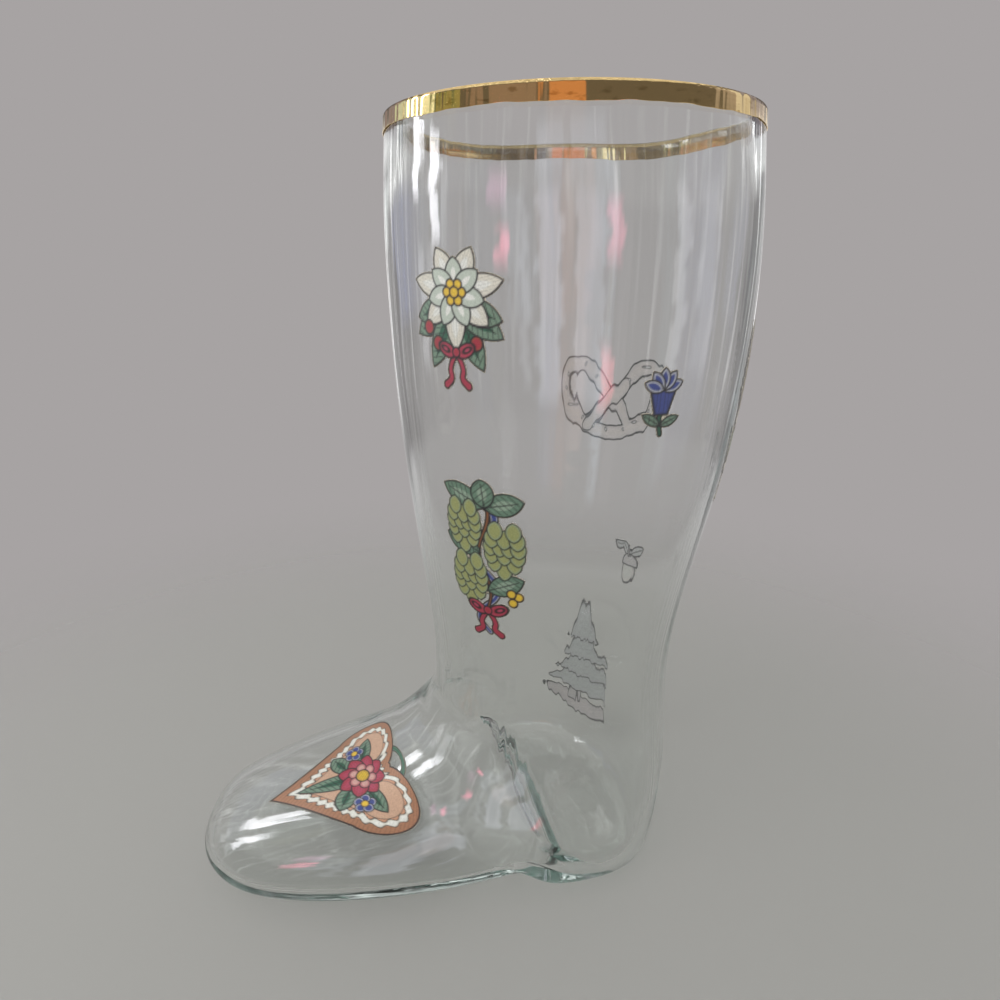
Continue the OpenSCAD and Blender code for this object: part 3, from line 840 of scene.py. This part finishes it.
def draw_fir(p):
    """A fir of four tiers with drooping boughs on a patch of ground."""
    ground = p.oval(0, -21.5, 14.5, 4.2)
    p.form(ground, "blush", "bark", 1.6)
    p.hatch(ground, 80, 1.3, 0.07, 0.5)
    p.form(p.hull([(-1.7, -10), (1.7, -10), (2.3, -21), (-2.3, -21)]), "bark", "outline", 0.7)
    tiers = ((-15.5, 14.6, 17), (-7.5, 12.2, 16), (1.5, 9.6, 15), (10.5, 7, 14.6))
    for k, (base, wide, tall) in enumerate(tiers):
        cone = p.hull([(-wide, base), (0, base + tall), (wide, base)])
        scallop = base + 1.6 * np.abs(np.sin(p.x * math.pi / (wide / 2.5))) - 0.6
        d = np.maximum(cone, scallop - p.y)
        p.form(d, "spruce", "leaf", 1.8)
        p.hatch(d, 20 + 4 * k, 1.5, 0.08, 0.6)
        p.hatch(np.maximum(d, p.x), 160 - 4 * k, 1.5, 0.08, 0.5)


# Each print: its drawing, its place t and its angle on the wall in degrees, and the grain of its tone.
PRINTS = {
    "edelweiss": (draw_edelweiss, 2.1, -42, 2300.0),
    "gentian": (draw_gentian, 2.9, -100, 2500.0),
    "hop": (draw_hop, 4.6, -48, 2100.0),
    "heart": (draw_heart, 17.9, -18, 1700.0),
    "pretzel": (draw_pretzel, 3.4, 128, 2000.0),
    "barley": (draw_barley, 3.2, 208, 2200.0),
    "acorn": (draw_acorn, 5.6, 150, 2400.0),
    "fir": (draw_fir, 7.9, 128, 1900.0),
}


def snap_to_edge(p):
    """Moves the points next to the cut edge onto it, down the slope of its distance, and says which stay."""
    slope_y, slope_x = np.gradient(p.edge, PRINT_CELL)
    steep = np.maximum(np.hypot(slope_x, slope_y), 0.5) ** 2
    reach = SNAP * PRINT_CELL
    shift = np.where(np.abs(p.edge) < reach, p.edge, 0) / steep
    return p.x - shift * slope_x, p.y - shift * slope_y, p.edge < reach


def film_faces(keep):
    """Faces of a closed film over the kept cells of a grid: a front, a back one count of points behind it,
    and walls along every edge that only one cell uses."""
    rows, cols = keep.shape
    index = np.arange(rows * cols).reshape(rows, cols)
    cells = keep[:-1, :-1] & keep[1:, :-1] & keep[:-1, 1:] & keep[1:, 1:]
    quads = stacked(index[:-1, :-1], index[:-1, 1:], index[1:, 1:], index[1:, :-1])[cells]
    starts = quads.reshape(-1)
    ends = np.roll(quads, -1, axis=1).reshape(-1)
    count = rows * cols
    open_edge = ~np.isin(starts * count + ends, ends * count + starts)
    s, e = starts[open_edge], ends[open_edge]
    return np.vstack([quads, quads[:, ::-1] + count, stacked(e, s, s + count, e + count)])


# Pieces

class AddBlownBoot(bpy.types.Operator):
    """Build the blown glass boot"""
    bl_idname = "boot.add_blown_boot"
    bl_label = "Blown boot"

    def execute(self, context):
        sizes = context.scene.boot_sizes
        wall = BootWall(sizes)
        t = wall.t_end * (np.arange(BOOT_ROWS) / BOOT_ROWS)[:, None]
        a = angles(BOOT_SIDES)
        outside = wall.outer(t, a)
        outside[..., 2] = np.maximum(outside[..., 2], 0)
        rows = np.concatenate([wall.inner(t, a)[::-1], self.lip(wall, a), outside])
        tip = wall.outer(np.array([float(wall.t_end)]), np.array([0.0]))
        points = np.vstack([rows.reshape(-1, 3), tip + [sizes.leg_wall, 0, 0], tip])
        piece = add_piece("blown_boot", points, self.faces(len(rows)),
                          blown_glass(context.scene.finish_colours), "boot_glass")
        self.lay_streaks(piece.data, wall, t[:, 0], a, outside)
        return {"FINISHED"}

    def lip(self, wall, a):
        """Rows of the rim's half round, from the inside over the top, as circles at even angles."""
        h = (math.pi * np.arange(1, LIP_ROWS + 1) / (LIP_ROWS + 1))[:, None]
        r = wall.rim_r - wall.lip_r - wall.lip_r * np.cos(h)
        return stacked(wall.rim_x - r * np.cos(a), r * np.sin(a),
                       wall.s["boot_h"] - wall.lip_r + wall.lip_r * np.sin(h))

    def faces(self, rows):
        """The quads between the rows, and a fan of triangles at the tip of the inside and of the outside."""
        last = BOOT_SIDES * rows
        j = np.arange(BOOT_SIDES)
        k = (j + 1) % BOOT_SIDES
        caps = [stacked(last, k, j), stacked(last + 1, j + last - BOOT_SIDES, k + last - BOOT_SIDES)]
        return ring_faces(rows, BOOT_SIDES).tolist() + np.vstack(caps).tolist()

    def lay_streaks(self, mesh, wall, t, a, outside):
        """Two layers for the finish. flow is a place on a straight tube as wide as the leg, as high up as the
        row is far from the rim along the outside. calm is how strong the streaks are there."""
        run = np.append(0, np.cumsum(np.linalg.norm(np.diff(outside, axis=0), axis=-1).mean(axis=1)))
        run = np.concatenate([run[::-1], np.zeros(LIP_ROWS), run])[:, None]
        r = wall.s["leg_d"] / 2
        flow = stacked(r * np.cos(a), r * np.sin(a), run).reshape(-1, 3)
        lost = HEEL_CALM * fade((t - HEEL_T) / CALM_FADE) * (1 - FOOT_BACK * fade((t - FOOT_T) / CALM_FADE))
        calm = 1 - lost
        calm = np.repeat(np.concatenate([calm[::-1], np.ones(LIP_ROWS), calm]), BOOT_SIDES)
        layer = mesh.attributes.new("flow", "FLOAT_VECTOR", "POINT")
        layer.data.foreach_set("vector", np.vstack([flow, [0, 0, run[0, 0]], [0, 0, run[-1, 0]]]).ravel())
        layer = mesh.attributes.new("calm", "FLOAT", "POINT")
        layer.data.foreach_set("value", np.append(calm, [calm[0], calm[-1]]))


class AddGildedBand(bpy.types.Operator):
    """Build the gilded band round the lip"""
    bl_idname = "boot.add_gilded_band"
    bl_label = "Gilded band"

    def execute(self, context):
        finish = fired_gold(context.scene.finish_colours)
        rows = self.rows(context.scene.boot_sizes, context.scene.film_sizes)
        faces = ring_faces(len(rows) + 1, BAND_SIDES) % (len(rows) * BAND_SIDES)
        add_piece("gilded_band", rows, faces.tolist(), finish, "rim_gold_band")
        return {"FINISHED"}

    def rows(self, sizes, films):
        """Rows up the band's back and down its front, and one more round each edge. Below the lip they follow
        the wall's rings, and on it the half round. Sines round the rim make the lower edge uneven."""
        wall = BootWall(sizes)
        a = angles(BAND_SIDES)
        shares = np.concatenate([[0, BAND_CREASE], np.linspace(BAND_MARGIN, 1 - BAND_MARGIN, BAND_ROWS),
                                 [1 - BAND_CREASE, 1]])
        down = np.concatenate([shares[::-1], [-BAND_CREASE], shares, [1 + BAND_CREASE]])[:, None]
        depth = np.concatenate([0 * shares, [0.5], 0 * shares + 1, [0.5]])[:, None]
        brush = 1 + sum(share * np.sin(n * a + phase) for share, n, phase in BRUSH_WAVES)
        z = sizes.boot_h - films.band_drop - films.band_h * down * brush
        lift = films.film_gap + films.film_t * depth
        lip_z = sizes.boot_h - wall.lip_r
        # The place t of each height is read off the rings near the rim.
        near_rim = np.linspace(0, 2, 41)
        t = np.interp(-z, -wall.ring(near_rim)[:, FRONT_Z], near_rim)
        over = np.arcsin(np.clip((z - lip_z) / wall.lip_r, 0, 1))
        r = wall.ring(t)[..., HALF] + lift - (wall.lip_r + lift) * (1 - np.cos(over))
        z = np.where(z > lip_z, lip_z + (wall.lip_r + lift) * np.sin(over), z)
        return stacked(wall.rim_x - r * np.cos(a), r * np.sin(a), z)


class AddFiredPrints(bpy.types.Operator):
    """Build the eight fired prints"""
    bl_idname = "boot.add_fired_prints"
    bl_label = "Fired prints"

    def execute(self, context):
        colours, films = context.scene.finish_colours, context.scene.film_sizes
        wall = BootWall(context.scene.boot_sizes)
        inks = {k: np.array(getattr(colours, k)) for k in colours.__annotations__}
        for name, (draw, t, a, grain) in PRINTS.items():
            p = Sheet(*getattr(films, name), inks)
            draw(p)
            x, y, keep = snap_to_edge(p)
            front, back = (wall.place(t, math.radians(a), x * MM, y * MM, lift).reshape(-1, 3)
                           for lift in (films.film_gap + films.film_t, films.film_gap))
            pale = mixed(inks["backing"], p.ink, INKS_BEHIND)
            pale = mixed(pale, inks["outline"], OUTLINES_BEHIND * p.drawn[..., None])
            used, faces = np.unique(film_faces(keep), return_inverse=True)
            piece = add_piece(f"{name}_print", np.vstack([front, back])[used], faces.reshape(-1, 4).tolist(),
                              fired_enamel(f"{name} enamel", grain), f"{name}_transfer")
            shades = np.vstack([p.ink.reshape(-1, 3), pale.reshape(-1, 3)])[used]
            layer = piece.data.color_attributes.new("ink", "FLOAT_COLOR", "POINT")
            layer.data.foreach_set("color", np.hstack([shades, np.ones((len(shades), 1))]).ravel())
        return {"FINISHED"}


# Stage

# The floor's rows and sides, how far it lies below the boot, and where it gives way to the surroundings.
FLOOR_RADII, FLOOR_SIDES, FLOOR_DROP = (0.0001, 0.5, 1.0, 2.2), 96, 0.05 * MM
FLOOR_START, FLOOR_END = 0.14, 0.44
# The lamp's place, what it looks at, the length of its sides, and its power.
LAMP_PLACE, LAMP_TARGET, LAMP_SIDE, LAMP_POWER = (-0.55, -0.35, 0.95), (0, 0, 0.1), 0.7, 4.4
# The camera's place, and how many degrees it is turned down and to the right.
CAMERA_PLACE, CAMERA_DOWN, CAMERA_RIGHT = (-0.0361, -0.2431, 0.209), 17.7, 11.72
# The room as glossy rays meet it past the tent, and the strength of the light on everything else.
ROOM_COLOUR, ROOM_LIGHT = (0.30, 0.295, 0.29), 0.78
# How often a ray may be thrown back or go through glass, and how often it may go through what is clear.
BOUNCES, CLEAR_BOUNCES = 64, 32

# The tent: its radius, its lowest row and the step between its rows and between its sides in degrees.
TENT_RADIUS, TENT_LOW, TENT_ROW, TENT_SIDE = 0.45, -45, 1.5, 1.0
# Its light, and its light in the dark belt.
TENT_LIGHT, TENT_DARK = (0.52, 0.51, 0.51), (0.15, 0.14, 0.14)
# The belts' lowest and highest angle up from the floor, and the width of their soft edges. The near set is
# for light thrown back before it has gone through any glass, and the far set for light thrown back behind it.
NEAR_BELT, FAR_BELT, BELT_EDGE = (40, 64), (0, 38), 4
# The haze's waves: how many streaks each lays round the boot, and the pace at which they bend upwards.
HAZE_WAVES, HAZE_BEND = ((29, 10), (43, 9), (61, 7), (79, 10)), 1.6
# The haze's light between its streaks and in them, where it starts above the floor, and over what angle.
HAZE_LEAST, HAZE_MOST, HAZE_START, HAZE_RISE = 0.1, 3.0, 2, 14
# How far the panels' edges waver, in degrees, at what pace upwards, and how much that leans round the boot.
WAVERS = ((1.1, 0.55, 0), (0.8, 1.3, 0.05))
# The soft edges of a panel at its foot and at its top, in degrees.
PANEL_FOOT, PANEL_TOP = 5, 4
# The panels: the angle round the boot, half the width, the lowest and the highest angle up from the floor,
# the width of the soft edge, and the light.
NEAR_PANELS = [
    (122, 8.0, 40, 60, 4.0, (0.15, 0.13, 0.20)),
    (141, 6.0, 40, 60, 4.0, (0.50, 0.65, 0.70)),
    (157, 3.0, 34, 62, 1.2, (12.0, 12.0, 12.5)),
    (168, 3.5, 42, 60, 2.0, (0.80, 0.95, 0.90)),
    (178, 4.0, 42, 60, 3.0, (0.0, 0.06, 0.0)),
    (-172, 4.0, 42, 60, 2.0, (0.20, 0.20, 0.03)),
    (-136, 17.0, 42, 60, 3.0, (0.15, 0.10, 0.10)),
    (-103, 9.0, 42, 60, 2.0, (0.50, 0.18, 0.03)),
    (-15, 4.0, 41, 60, 3.0, (0.32, 0.30, 0.35)),
    (-4, 5.0, 40, 60, 3.0, (0.63, 0.65, 0.70)),
    (14, 8.0, 38, 60, 4.0, (0.17, 0.18, 0.30)),
    (173, 3.5, 27, 45, 1.2, (11.0, 11.0, 11.5)),
    (172, 3.5, 16, 30, 3.0, (1.8, 1.8, 1.9)),
    (160, 2.0, 10, 30, 2.0, (1.8, 1.8, 1.9)),
    (-141, 4.0, 33, 42, 2.0, (3.6, 1.5, 2.7)),
    (-139, 3.0, 24, 33, 1.2, (10.0, 2.0, 3.4)),
    (-126, 1.6, 5, 40, 1.5, (1.3, 1.35, 1.5)),
    (-112, 6.0, 2, 40, 1.5, (2.0, 2.1, 2.5)),
    (-91, 7.0, 2, 40, 2.0, (1.7, 1.8, 2.15)),
    (-78, 2.5, 25, 38, 1.5, (6.0, 1.5, 2.4)),
    (-80, 2.2, 2, 16, 1.5, (7.0, 1.6, 2.0)),
    (-42, 2.0, 0, 40, 1.5, (2.0, 2.0, 2.1)),
    (-25, 4.0, 10, 40, 3.0, (0.9, 0.9, 1.0)),
]
FAR_PANELS = [
    (-60, 16.0, 17, 38, 4.0, (-0.05, -0.05, -0.03)),
    (-2, 6.0, 17, 38, 3.0, (0.30, 0.33, 0.45)),
    (-30, 10.0, 17, 38, 3.0, (0.04, 0.09, 0.19)),
    (-83, 2.5, 17, 38, 1.5, (0.13, 0.16, 0.31)),
    (-90, 2.5, 17, 38, 1.5, (0.39, 0.35, 0.61)),
    (-101, 6.0, 17, 38, 2.0, (0.60, 0.19, 0.08)),
    (-115, 4.0, 17, 38, 2.0, (0.84, 0.50, 0.42)),
    (-126, 2.0, 17, 38, 1.5, (0.20, 0.27, 0.36)),
    (-134, 4.5, 17, 38, 1.2, (1.10, 1.25, 1.50)),
    (-149, 3.0, 17, 38, 2.0, (0.22, 0.18, 0.20)),
    (173, 4.0, 17, 38, 2.0, (0.22, 0.32, 0.36)),
    (160, 5.0, 17, 38, 1.5, (0.44, 0.52, 0.64)),
    (138, 15.0, 17, 38, 4.0, (0.20, 0.24, 0.45)),
    (157, 3.0, 38, 62, 1.2, (8.0, 8.0, 8.5)),
    (173, 3.5, 36, 48, 1.2, (8.0, 8.0, 8.5)),
    (-112, 6.0, 36, 48, 2.0, (1.7, 1.8, 2.15)),
    (-91, 7.0, 36, 48, 3.0, (1.4, 1.5, 1.8)),
]


class SetStage(bpy.types.Operator):
    """Set the floor, the surroundings, the tent, the lamp and the camera"""
    bl_idname = "boot.set_stage"
    bl_label = "Stage"

    def execute(self, context):
        scene = context.scene
        scene.view_settings.view_transform = "Standard"
        scene.cycles.max_bounces = BOUNCES
        scene.cycles.transmission_bounces = BOUNCES
        scene.cycles.glossy_bounces = BOUNCES
        scene.cycles.transparent_max_bounces = CLEAR_BOUNCES
        self.add_floor(scene.stage_looks)
        self.set_world(scene.stage_looks)
        self.add_tent()
        self.add_lamp()
        self.add_camera(scene.stage_looks)
        return {"FINISHED"}

    def add_floor(self, stage):
        """A round floor that gives way to the surroundings towards its rim."""
        r, a = np.array(FLOOR_RADII)[:, None], angles(FLOOR_SIDES)
        points = stacked(r * np.cos(a), r * np.sin(a), -FLOOR_DROP)
        material, tree, output = node_tree("pale floor")
        place = add_node(tree, "ShaderNodeTexCoord").outputs["Object"]
        far = add_node(tree, "ShaderNodeVectorMath", {0: place}, operation="LENGTH").outputs["Value"]
        share = add_node(tree, "ShaderNodeMapRange", {
            "Value": far, "From Min": FLOOR_START, "From Max": FLOOR_END}, interpolation_type="SMOOTHSTEP")
        surface = add_node(tree, "ShaderNodeBsdfPrincipled", {
            "Base Color": (*stage.floor, 1), "Roughness": 0.62, "Specular IOR Level": 0.3})
        clear = add_node(tree, "ShaderNodeBsdfTransparent")
        tree.links.new(mixed_shader(tree, share.outputs[0], surface, clear), output.inputs["Surface"])
        faces = ring_faces(len(FLOOR_RADII), FLOOR_SIDES)[:, ::-1]
        mesh_object("floor", points, faces.tolist(), material)

    def glow(self, up, a, belt, panels):
        """The tent's light at each angle up and round: a level that drops to a dark belt, a haze of fine
        upright streaks outside the belt, and each panel as a smooth hump over the angle round the boot times
        one over the angle up from the floor. Outside the belt the panels' edges waver."""
        dark = fade((up - belt[0]) / BELT_EDGE) * fade((belt[1] - up) / BELT_EDGE)
        wave = sum(np.sin(np.radians(n * a) + n + HAZE_BEND * np.sin(up / pace)) for n, pace in HAZE_WAVES)
        streaks = np.clip(wave / len(HAZE_WAVES), 0, 1) ** 2
        haze = (HAZE_LEAST + HAZE_MOST * streaks) * (1 - dark) * fade((up - HAZE_START) / HAZE_RISE)
        light = mixed(np.array(TENT_LIGHT), np.array(TENT_DARK), dark[..., None]) + haze[..., None]
        a = a + (1 - dark) * sum(far * np.sin(pace * up + lean * a) for far, pace, lean in WAVERS)
        for angle, half, low, high, soft, colour in panels:
            away = np.abs((a - angle + 180) % 360 - 180)
            upright = fade((up - low) / PANEL_FOOT) * fade((high - up) / PANEL_TOP)
            light = light + (fade((half + soft - away) / soft) * upright)[..., None] * np.array(colour)
        return np.concatenate([light, np.ones(up.shape + (1,))], axis=-1)

    def add_tent(self):
        """A dome of soft panels that only mirrored light meets: light that glass or gold has thrown back at
        least once on its way from the eye, and that nothing matt has scattered."""
        up, a = np.meshgrid(np.arange(TENT_LOW, 90 + TENT_ROW / 2, TENT_ROW), np.arange(0, 360, TENT_SIDE),
                            indexing="ij")
        paints = {"near": self.glow(up, a, NEAR_BELT, NEAR_PANELS),
                  "far": self.glow(up, a, FAR_BELT, FAR_PANELS)}
        up, a = np.radians(up), np.radians(a)
        points = TENT_RADIUS * stacked(np.cos(up) * np.cos(a), np.cos(up) * np.sin(a), np.sin(up))
        material, tree, output = node_tree("tent light")
        material.cycles.emission_sampling = "NONE"
        rays = add_node(tree, "ShaderNodeLightPath").outputs
        thrown = maths(tree, "GREATER_THAN", rays["Glossy Depth"], 0.5)
        clean = maths(tree, "LESS_THAN", rays["Diffuse Depth"], 0.5)
        behind = maths(tree, "GREATER_THAN", rays["Transmission Depth"], 0.5)
        near = add_node(tree, "ShaderNodeAttribute", attribute_name="near").outputs["Color"]
        far = add_node(tree, "ShaderNodeAttribute", attribute_name="far").outputs["Color"]
        colour = add_node(tree, "ShaderNodeMix", {0: behind, 6: near, 7: far}, data_type="RGBA")
        light = add_node(tree, "ShaderNodeEmission", {"Color": colour.outputs[2], "Strength": 1.0})
        clear = add_node(tree, "ShaderNodeBsdfTransparent")
        seen = maths(tree, "MULTIPLY", thrown, clean)
        tree.links.new(mixed_shader(tree, seen, clear, light), output.inputs["Surface"])
        tent = mesh_object("tent", points, ring_faces(*up.shape).tolist(), material)
        for name, paint in paints.items():
            layer = tent.data.color_attributes.new(name, "FLOAT_COLOR", "POINT")
            layer.data.foreach_set("color", paint.ravel())
        tent.visible_camera = False
        tent.visible_diffuse = False
        tent.visible_shadow = False

    def set_world(self, stage):
        """The backdrop colour to the eye and through the glass, a dimmer room in reflections, and even light
        on everything else."""
        world = bpy.data.worlds.new("studio")
        world.use_nodes = True
        tree = world.node_tree
        tree.nodes.clear()
        output = tree.nodes.new("ShaderNodeOutputWorld")
        rays = add_node(tree, "ShaderNodeLightPath").outputs
        looking = maths(tree, "MAXIMUM", rays["Is Camera Ray"], rays["Is Transmission Ray"])
        clean = maths(tree, "LESS_THAN", rays["Diffuse Depth"], 0.5)
        backdrop, room, light = (
            add_node(tree, "ShaderNodeBackground", {"Color": (*colour, 1), "Strength": strength})
            for colour, strength in ((stage.backdrop, 1.0), (ROOM_COLOUR, 1.0), ((1, 1, 1), ROOM_LIGHT)))
        lit = add_node(tree, "ShaderNodeMixShader", {
            0: rays["Is Glossy Ray"], 1: light.outputs[0], 2: room.outputs[0]})
        seen = maths(tree, "MULTIPLY", looking, clean)
        tree.links.new(mixed_shader(tree, seen, lit, backdrop), output.inputs["Surface"])
        bpy.context.scene.world = world

    def add_lamp(self):
        """A square soft lamp up in front and to the left, which is itself neither seen nor mirrored."""
        data = bpy.data.lights.new("key", "AREA")
        data.shape = "RECTANGLE"
        data.size = data.size_y = LAMP_SIDE
        data.energy = LAMP_POWER
        lamp = bpy.data.objects.new("key", data)
        lamp.location = LAMP_PLACE
        lamp.rotation_euler = (Vector(LAMP_TARGET) - lamp.location).to_track_quat("-Z", "Y").to_euler()
        lamp.visible_camera = False
        lamp.visible_glossy = False
        lamp.visible_transmission = False
        bpy.context.scene.collection.objects.link(lamp)

    def add_camera(self, stage):
        """The camera stands a little below the rim and looks down and to the right."""
        data = bpy.data.cameras.new("camera")
        data.lens = stage.lens
        data.sensor_width = 36
        data.clip_start, data.clip_end = 0.01, 20
        camera = bpy.data.objects.new("camera", data)
        camera.location = CAMERA_PLACE
        camera.rotation_euler = (math.radians(90 - CAMERA_DOWN), 0, math.radians(-CAMERA_RIGHT))
        bpy.context.scene.collection.objects.link(camera)
        bpy.context.scene.camera = camera


class BootPanel(bpy.types.Panel):
    """Lists the boot's pieces and settings."""
    bl_label = "Boot Glass"
    bl_idname = "VIEW3D_PT_boot_glass"
    bl_space_type = "VIEW_3D"
    bl_region_type = "UI"
    bl_category = "Boot Glass"

    def draw(self, context):
        for operator in PIECES + (SetStage,):
            self.layout.operator(operator.bl_idname)
        for name in GROUPS:
            group = getattr(context.scene, name)
            box = self.layout.box()
            for key in group.__annotations__:
                box.prop(group, key)


PIECES = (AddBlownBoot, AddGildedBand, AddFiredPrints)
GROUPS = {
    "boot_sizes": BootSizes,
    "film_sizes": FilmSizes,
    "finish_colours": FinishColours,
    "stage_looks": StageLooks,
}
CLASSES = (*GROUPS.values(), *PIECES, SetStage, BootPanel)


def register():
    """Registers the classes and gives every scene the settings."""
    for cls in CLASSES:
        bpy.utils.register_class(cls)
    for name, group in GROUPS.items():
        setattr(bpy.types.Scene, name, bpy.props.PointerProperty(type=group))


def unregister():
    """Takes back what register did."""
    for name in GROUPS:
        delattr(bpy.types.Scene, name)
    for cls in reversed(CLASSES):
        bpy.utils.unregister_class(cls)


def main():
    """Builds the stage and every piece."""
    register()
    bpy.ops.boot.set_stage()
    bpy.ops.boot.add_blown_boot()
    bpy.ops.boot.add_gilded_band()
    bpy.ops.boot.add_fired_prints()


if __name__ == "__main__":
    main()
